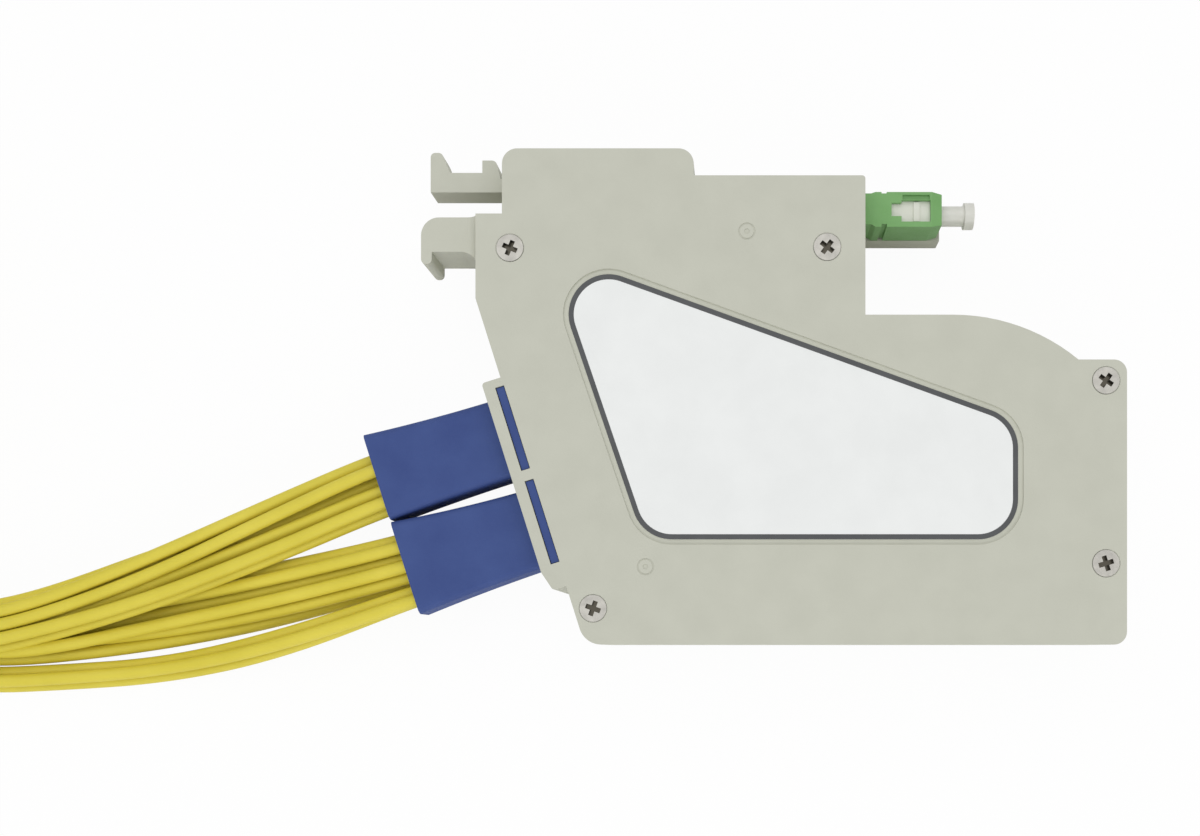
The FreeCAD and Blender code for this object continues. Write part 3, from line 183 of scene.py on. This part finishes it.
# Splitter: a stainless tube round the glass chip, brushed along its length and stuck down on a foam pad.
# A black rubber bung holds the fibre at its one end and the ribbons at the other.
brushed_steel = surface("brushed_stainless", "#a9a8a3", "#c4c3bd", 0.9, 0.12, 0.006, 0.34,
                        stretch=(0.06, 1.0, 1.0), Metallic=1.0)
black_rubber = surface("black_rubber", "#1b1b1d", "#242426", 4, 0.2, 0.015, 0.68)
white_foam = surface("adhesive_foam", "#dcd9cd", "#ebe8de", 1.2, 0.5, 0.12, 0.85)
finish(brushed_steel, "plc_splitter")
finish(black_rubber, "splitter_input_boot", "splitter_output_boot")
finish(white_foam, "splitter_pad")


# Fibres: one 0.9 mm buffered fibre from the plug round the spool, and a loose tube to each fan-out.
# The buffer is smooth white polymer, and the tube milky and a little translucent.
white_buffer = surface("white_fibre_buffer", "#e4e1d4", "#eeece1", 6, 0.15, 0.004, 0.42)
milky_tube = surface("milky_loose_tube", "#d5d5cb", "#e0e0d7", 6, 0.2, 0.005, 0.38,
                     Transmission_Weight=0.25)
finish(white_buffer, "input_fibre")
finish(milky_tube, "upper_fibre_tube", "lower_fibre_tube")


# Fan-outs: two blocks of black cast resin, where the bare fibres enter the pigtails.
# Casting leaves faint flow marks and a half matt skin.
cast_resin = surface("black_cast_resin", "#28282a", "#333335", 5, 0.5, 0.03, 0.45)
finish(cast_resin, "upper_fanout", "lower_fanout")


# Pigtails: sixteen 2.8 mm yellow PVC jackets over aramid yarn and one fibre each, crimped into the fan-outs.
# They sag out of the boots to the table, gather into a lead and are wound into one tied coil.
MIDDLE_U, MIDDLE_V = 66.5, 50.65
SLANT_TOP, SLANT = 70.7, math.radians(17.5)


def at(u, v, z):
    """A point given in millimetres from the casing's lower left corner and off its back."""
    return Vector((u - MIDDLE_U, v - MIDDLE_V, z)) * MM


def on_slant(along, out, z):
    """A point along the slanted edge from its top, and out from it."""
    u = along * math.sin(SLANT) - out * math.cos(SLANT)
    return at(u, SLANT_TOP - along * math.cos(SLANT) - out * math.sin(SLANT), z)


jacket = surface("yellow_pvc_jacket", "#dacb46", "#e2d350", 14, 0.3, 0.012, 0.5, Specular_IOR_Level=0.3)
JACKET_RADIUS = 1.4
FANOUT_FACE, BOOT_MOUTH = -3.0, 31.75
ROOT_SHARE, WAIST_SHARE = 0.94, 0.985
STATIONS = (-45.0, -72.0, -98.0)
LEAD_END = -112.0
# Where the lead runs on to the coil: how far along, and which share of the way to its lane it has gone.
JOINING = ((-126.0, 0.15), (-142.0, 0.5), (-157.0, 0.85))
COIL_U, COIL_V, COIL_RADIUS, COIL_HOLE = -178.0, 65.1, 66.0, 41.0
LANE, LIFT = 2.9, 1.0
# In degrees: where the turns begin, how far they go past the last whole one, and the step between points.
BEGIN, PAST, STEP = 270, 70, 18
WHOLE_TURNS = 3
SEAT_PITCH, LAYER_PITCH, PLUG_LEVEL = 7.6, 9.2, 4.45
BOOT_TIP, BOOT_DEPTHS = 23.0, (1.0, 7.0)
HOLE_GAP = 1.5
# Each pigtail's place across the boot's mouth and its height there, then its v and z at the stations.
UPPER = [
    (-3.2, 8.6, (28.6, 7.8), (19.4, 7.0), (10.6, 4.2)),
    (-4.7, 11.4, (30.3, 10.6), (18.4, 10.2), (8.9, 6.9)),
    (-2.4, 13.4, (27.2, 11.9), (14.7, 9.9), (5.95, 6.9)),
    (-0.55, 9.6, (25.6, 7.9), (16.7, 7.2), (7.6, 4.2)),
    (2.1, 11.7, (23.3, 10.1), (13.1, 7.9), (4.6, 4.2)),
    (4.75, 13.4, (20.05, 11.9), (9.7, 10.4), (2.95, 6.9)),
    (6.0, 10.7, (18.9, 9.3), (8.89, 7.62), (1.45, 4.2)),
]
LOWER = [
    (-6.5, 10.8, (16.6, 6.5), (12.4, 1.6), (9.0, 1.5)),
    (-4.85, 13.4, (14.3, 8.8), (9.4, 3.7), (6.0, 1.5)),
    (-2.65, 11.1, (12.2, 6.6), (7.1, 1.6), (2.1, 1.5)),
    (-0.61, 13.41, (9.6, 9.0), (4.4, 5.1), (-1.25, 4.2)),
    (1.51, 11.29, (7.25, 6.6), (2.8, 2.8), (0.2, 1.5)),
    (2.1, 8.5, (5.5, 3.6), (0.4, 1.45), (-2.85, 1.5)),
    (4.65, 11.3, (1.8, 6.9), (-4.1, 1.5), (-5.85, 1.5)),
    (6.62, 13.53, (-0.3, 9.1), (-5.6, 4.0), (-7.6, 4.2)),
    (6.01, 8.47, (-1.65, 6.1), (-7.1, 1.5), (-8.75, 1.5)),
]
# Each boot's middle along the slanted edge, its pigtails, and their fall and rise to the lead's end.
BUNDLES = {
    "upper": (27.54, UPPER, (3.2, 2.2)),
    "lower": (47.54, LOWER, (0.5, 0.0)),
}
# The row and the column of the coil that each pigtail starts in, counted up and inwards.
LANES = {
    "upper_2": (7, 0), "upper_1": (7, 1), "upper_3": (6, 0), "upper_4": (6, 1),
    "upper_6": (5, 0), "lower_1": (5, 1), "upper_5": (4, 0), "lower_2": (4, 1),
    "upper_7": (3, 0), "lower_3": (3, 1), "lower_4": (2, 0), "lower_5": (2, 1),
    "lower_7": (1, 0), "lower_6": (1, 1), "lower_8": (0, 0), "lower_9": (0, 1),
}
# For each row of the coil: the side that its two pigtails leave on, the connectors' layer, and the rows of
# connectors that the inner and the outer pigtail go to, counted from the middle.
LEAVES = {
    0: ("right", 0, (0, 2)), 3: ("right", 0, (1, 3)), 4: ("right", 1, (0, 2)), 7: ("right", 1, (1, 3)),
    1: ("left", 0, (0, 2)), 2: ("left", 0, (1, 3)), 5: ("left", 1, (0, 2)), 6: ("left", 1, (1, 3)),
}


def route(name, middle, across, level, stations, lead):
    """The pigtail's points, from the fan-out through the boot and round the coil into a connector's boot."""
    points = [
        on_slant(middle + across * ROOT_SHARE, FANOUT_FACE, level),
        on_slant(middle + across * WAIST_SHARE, (FANOUT_FACE + BOOT_MOUTH) / 2, level),
        on_slant(middle + across, BOOT_MOUTH, level),
    ]
    points += [at(u, v, z) for u, (v, z) in zip(STATIONS, stations)]
    v, z = stations[-1][0] - lead[0], stations[-1][1] + lead[1]
    row, column = LANES[name]
    points.append(at(LEAD_END, v, z))
    edge = COIL_V - COIL_RADIUS + LANE * (column + 0.5)
    height = LIFT + LANE * (row + 0.5)
    for u, share in JOINING:
        points.append(at(u, v + (edge - v) * share, z + (height - z) * share))
    side, layer, seats = LEAVES[row]
    seat = seats[1 - column]
    aside = (seat + 0.5) * SEAT_PITCH
    wall = math.sqrt(COIL_HOLE**2 - aside**2)
    half_turn = 180 if side == "right" else 0
    travel = 360 * WHOLE_TURNS + PAST + math.degrees(math.asin(aside / COIL_HOLE)) + half_turn
    steps = round(travel / STEP)
    for step in range(steps + 1):
        angle = math.radians(BEGIN - travel * step / steps)
        lane = COIL_RADIUS - LANE * (column + 0.5) - 2 * LANE * travel * step / steps / 360
        radius = lane / math.cos(math.radians(STEP / 2))
        points.append(at(COIL_U + radius * math.cos(angle), COIL_V + radius * math.sin(angle), height))
    flip = 1 if side == "left" else -1
    end = LIFT + PLUG_LEVEL + layer * LAYER_PITCH
    in_boot = [(depth - BOOT_TIP, end) for depth in BOOT_DEPTHS]
    for u, z in [(HOLE_GAP - wall, (height + end) / 2), *in_boot]:
        points.append(at(COIL_U + flip * u, COIL_V + flip * aside, z))
    return points


pigtails = []
for boot, (middle, cords, lead) in BUNDLES.items():
    for count, (across, mouth_level, *stations) in enumerate(cords, start=1):
        points = route(f"{boot}_{count}", middle, across, mouth_level, stations, lead)
        curve = bpy.data.curves.new(f"{boot}_pigtail_{count}", "CURVE")
        curve.dimensions = "3D"
        curve.bevel_depth = JACKET_RADIUS * MM
        curve.bevel_resolution = 4
        curve.resolution_u = 8
        curve.use_fill_caps = True
        spline = curve.splines.new("NURBS")
        spline.points.add(len(points) - 1)
        for point, place in zip(spline.points, points):
            point.co = (*place, 1.0)
        spline.order_u = 3
        spline.use_endpoint_u = True
        curve.materials.append(jacket)
        pigtail = bpy.data.objects.new(curve.name, curve)
        bpy.context.scene.collection.objects.link(pigtail)
        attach(pigtail, "casing")
        stands_for = [f"{boot}_cord_{count}"]
        if not pigtails:
            stands_for += ["cord_coil", "cord_tails"]
        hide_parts(*stands_for)
        ends = [nodes["output_plugs"], nodes["output_plug_boots"], nodes["output_dust_caps"]]
        pigtails.append(pigtail)


# Strain reliefs: two flared boots of blue rubber, each held in the casing by a flange behind its slot.
# The moulded rubber is matt, and a little greyer in patches.
blue_rubber = surface("blue_moulded_rubber", "#384b84", "#3f538c", 9, 0.3, 0.015, 0.6,
                      Specular_IOR_Level=0.25)
finish(blue_rubber, "upper_boot", "lower_boot")


# Cover: the plate over the housing, one moulding with the flange, the label's recess and the fixed hook.
# It is the same beige-grey ABS as the housing.
finish(grey_abs, "cover")


# Label: a white vinyl film stuck in the cover's recess, bare but for its printed border.
# The border is a ring of dark grey ink along the film's edge, a few hundredths of a millimetre thick.
white_vinyl = surface("white_vinyl_film", "#ebedec", "#eff1f0", 9, 0.6, 0.006, 0.42)
grey_ink = surface("dark_grey_ink", "#3c3e40", "#444648", 5, 0.3, 0.004, 0.45)
finish(white_vinyl, "label_film")
BORDER, INK = 1.05, 0.02
SAME_PLACE = 0.001 * MM
ring = bmesh.new()
ring.from_mesh(nodes["label_film"].data)
bmesh.ops.remove_doubles(ring, verts=ring.verts, dist=SAME_PLACE)
film_top = max(vertex.co.z for vertex in ring.verts)
below = [face for face in ring.faces if face.calc_center_median().z < film_top - SAME_PLACE]
bmesh.ops.delete(ring, geom=below, context="FACES")
bmesh.ops.dissolve_limit(ring, angle_limit=math.radians(1), verts=ring.verts, edges=ring.edges)
bmesh.ops.inset_region(ring, faces=ring.faces, thickness=BORDER * MM, use_boundary=True,
                       use_even_offset=True)
middle_face = max(ring.faces, key=lambda face: face.calc_area())
bmesh.ops.delete(ring, geom=[middle_face], context="FACES")
bmesh.ops.solidify(ring, geom=ring.faces, thickness=-INK * MM)
bmesh.ops.recalc_face_normals(ring, faces=ring.faces)
border_mesh = bpy.data.meshes.new("label_border")
ring.to_mesh(border_mesh)
border_mesh.attributes.remove(border_mesh.attributes["custom_normal"])
border_mesh.materials.append(grey_ink)
border = bpy.data.objects.new("label_border", border_mesh)
bpy.context.scene.collection.objects.link(border)
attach(border, "casing")


# Screws: five countersunk steel screws with a cross recess, plated with nickel.
# The heads are turned and bright, and shade is painted into the cross recess, darker towards its floor.
nickel = surface("nickel_plated_steel", "#8e8c87", "#9d9b95", 1.5, 0.15, 0.006, 0.24, Metallic=1.0)
RECESS_FLOOR, RECESS_RIM = 21.2 * MM, 21.9 * MM
tree = nickel.node_tree
plated = tree.nodes["Principled BSDF"].inputs["Base Color"]
place = add(tree, "ShaderNodeSeparateXYZ", {"Vector": add(tree, "ShaderNodeTexCoord").outputs["Object"]})
# Painted shade: the recess goes from the plated colour at its rim to a dark brown-grey at its floor.
recess_shade_mask = add(tree, "ShaderNodeMapRange", {"Value": place.outputs["Z"], "From Min": RECESS_FLOOR,
                                        "From Max": RECESS_RIM})
painted_recess_shade = add(tree, "ShaderNodeMixRGB", {"Fac": recess_shade_mask.outputs["Result"], "Color1": linear("#45423b"),
                                         "Color2": plated.links[0].from_socket})
tree.links.new(painted_recess_shade.outputs["Color"], plated)
finish(nickel, "cover_screws")


# Latch: the upper arm, one ABS moulding on a ground steel pin, pushed up by a leaf of rolled spring steel.
# The pin is bright, and the rolls leave fine lines along the leaf.
ground_steel = surface("ground_steel", "#94948f", "#a5a5a0", 1.0, 0.1, 0.004, 0.28, Metallic=1.0)
rolled_steel = surface("rolled_spring_steel", "#85857f", "#999893", 2.5, 0.15, 0.004, 0.32,
                       stretch=(0.1, 1.0, 1.0), Metallic=1.0)
finish(grey_abs, "latch_arm")
finish(ground_steel, "latch_pin")


def springing(name, node):
    """A spring with the shape of the solid that it stands for, shown in that solid's place."""
    shell = bmesh.new()
    shell.from_mesh(nodes[node].data)
    bmesh.ops.remove_doubles(shell, verts=shell.verts, dist=SAME_PLACE)
    mesh = bpy.data.meshes.new(name)
    shell.to_mesh(mesh)
    mesh.attributes.remove(mesh.attributes["custom_normal"])
    mesh.materials.append(rolled_steel)
    spring = bpy.data.objects.new(name, mesh)
    bpy.context.scene.collection.objects.link(spring)
    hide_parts(node)
    return spring


leaf = springing("latch_leaf", "latch_spring")
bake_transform(leaf)


# Input plug: a green sliding grip over a white frame, with a sprung ceramic ferrule in a plated holder.
# The grip and the frame are satin mouldings, and the ferrule is ground zirconia.
# A wound spring sits behind the holder.
green_moulding = surface("green_moulded_polymer", "#73a564", "#7bac6d", 5, 0.3, 0.012, 0.45,
                         Specular_IOR_Level=0.3)
white_moulding = surface("white_moulded_polymer", "#dadcd0", "#e2e3d9", 4, 0.3, 0.01, 0.45)
plated_brass = surface("nickel_plated_brass", "#a8a69c", "#bab8ae", 1.0, 0.12, 0.004, 0.3, Metallic=1.0)
zirconia = surface("ground_zirconia", "#e9e6da", "#f0ede3", 2, 0.1, 0.002, 0.16, IOR=2.1)
finish(green_moulding, "plug_grip")
finish(white_moulding, "plug_frame", "plug_rear_body")
finish(plated_brass, "ferrule_holder")
finish(zirconia, "ferrule")
wound = springing("wound_spring", "ferrule_spring")
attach(wound, "casing")
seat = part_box("plug_rear_body")[1]
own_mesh(wound)


# Dust cap: a soft cap of natural polyethylene pushed over the ferrule.
# It is milky: light goes into it and comes out blurred.
milky_polyethylene = surface("natural_polyethylene", "#e2e2d9", "#e9e9e1", 3, 0.3, 0.008, 0.34,
                             Transmission_Weight=0.12, IOR=1.51)
finish(milky_polyethylene, "dust_cap")


# Coil ties: three straps of black hook-and-loop tape, each drawn tight round the turns where it lies.
# The pile of fine nylon loops makes them matt and rough.
black_pile = surface("black_nylon_pile", "#1f2023", "#313237", 1.6, 0.35, 0.2, 0.8, Sheen_Weight=0.3)
STRAP_TURNS = (25, 110, 230)
STRAP_WIDTH, TAPE, SLACK, FOLD = 9.0, 0.6, 0.3, 2.0
LAPS = 4
straps = bmesh.new()
for turn in STRAP_TURNS:
    outer = COIL_RADIUS - 2 * LANE * (BEGIN - turn) / 360
    inner = outer - 2 * LANE * LAPS
    height = LANE * len(LEAVES)
    middle = Vector(((inner + outer) / 2, 0.0, LIFT + height / 2)) * MM
    span = Vector((outer - inner + 2 * SLACK, STRAP_WIDTH, height + 2 * SLACK)) * MM
    strap = bmesh.new()
    bmesh.ops.create_cube(strap, size=1.0, matrix=Matrix.LocRotScale(middle, None, span))
    strap.normal_update()
    ends = [face for face in strap.faces if abs(face.normal.y) > 0.5]
    bmesh.ops.delete(strap, geom=ends, context="FACES_ONLY")
    folds = [edge for edge in strap.edges if edge.verts[0].co.y * edge.verts[1].co.y < 0]
    bmesh.ops.bevel(strap, geom=folds, offset=FOLD * MM, segments=5, profile=0.5, affect="EDGES",
                    material=-1)
    bmesh.ops.recalc_face_normals(strap, faces=strap.faces)
    bmesh.ops.solidify(strap, geom=strap.faces, thickness=-TAPE * MM)
    seat = Matrix.Translation(at(COIL_U, COIL_V, 0.0)) @ Matrix.Rotation(math.radians(turn), 4, "Z")
    bmesh.ops.transform(strap, matrix=seat, verts=strap.verts)
    strap_mesh = bpy.data.meshes.new("strap")
    strap.to_mesh(strap_mesh)
    straps.from_mesh(strap_mesh)
    bpy.data.meshes.remove(strap_mesh)
straps_mesh = bpy.data.meshes.new("coil_straps")
straps.to_mesh(straps_mesh)
straps_mesh.materials.append(black_pile)
coil_straps = bpy.data.objects.new("coil_straps", straps_mesh)
bpy.context.scene.collection.objects.link(coil_straps)
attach(coil_straps, "casing")
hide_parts("coil_ties")


# Output connectors: a green plug with a tapered green boot and a milky dust cap on the end of each pigtail.
# Plug and cap are mouldings, and the boot is soft rubber pushed over the end of the jacket.
green_rubber = surface("green_boot_rubber", "#4b8549", "#568f54", 5, 0.25, 0.015, 0.6)
finish(green_moulding, "output_plugs")
finish(green_rubber, "output_plug_boots")
finish(milky_polyethylene, "output_dust_caps")
